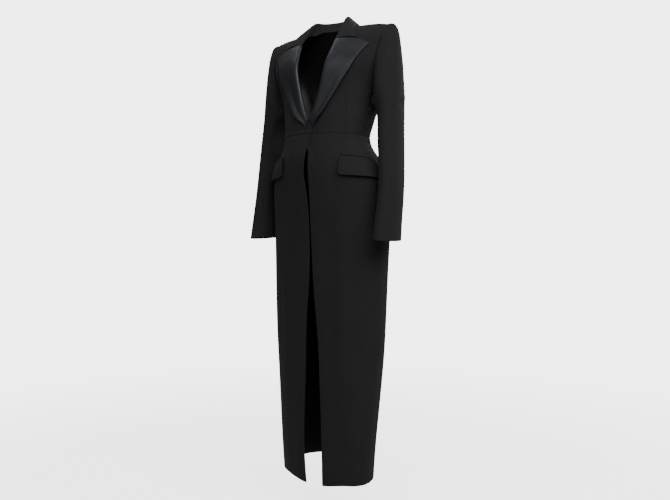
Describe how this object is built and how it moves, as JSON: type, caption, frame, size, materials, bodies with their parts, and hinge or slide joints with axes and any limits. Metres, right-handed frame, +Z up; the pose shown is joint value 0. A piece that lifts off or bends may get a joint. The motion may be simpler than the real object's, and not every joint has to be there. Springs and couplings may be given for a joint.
{
  "type": "floor-length tuxedo coat",
  "caption": "Floor-length fitted tuxedo coat, standing hollow as worn: wide satin lapels, squared shoulders, waist seam, flap pockets on the hips and a skirt open down the front.",
  "frame": {"origin": "centre between the two shoulder tips, at the height of the shoulder tips, where the coat is held up", "axes": "+Z up; the coat's front faces -Y; +X towards the wearer's left"},
  "size_m": [0.5236, 0.2307, 1.3681],
  "materials": {
    "black_wool": "matte black wool",
    "black_satin": "black satin with a soft sheen",
    "black_button": "polished black"
  },
  "bodies": {
    "root": {"bodice_front_left": "black_wool", "bodice_side_left": "black_wool", "bodice_back_left": "black_wool", "skirt_front_left": "black_wool", "skirt_back_left": "black_wool", "sleeve_upper_left": "black_wool", "sleeve_under_left": "black_wool", "pocket_jet_upper_left": "black_wool", "pocket_jet_lower_left": "black_wool", "pocket_flap_left": "black_wool", "bodice_front_right": "black_wool", "bodice_side_right": "black_wool", "bodice_back_right": "black_wool", "skirt_front_right": "black_wool", "skirt_back_right": "black_wool", "sleeve_upper_right": "black_wool", "sleeve_under_right": "black_wool", "pocket_jet_upper_right": "black_wool", "pocket_jet_lower_right": "black_wool", "pocket_flap_right": "black_wool", "collar_leaf": "black_wool", "collar_stand": "black_wool", "lapel_left": "black_satin", "lapel_right": "black_satin", "cuff_button_left_1": "black_button", "cuff_button_left_2": "black_button", "cuff_button_left_3": "black_button", "cuff_button_left_4": "black_button", "cuff_button_right_1": "black_button", "cuff_button_right_2": "black_button", "cuff_button_right_3": "black_button", "cuff_button_right_4": "black_button"}
  },
  "joints": []
}
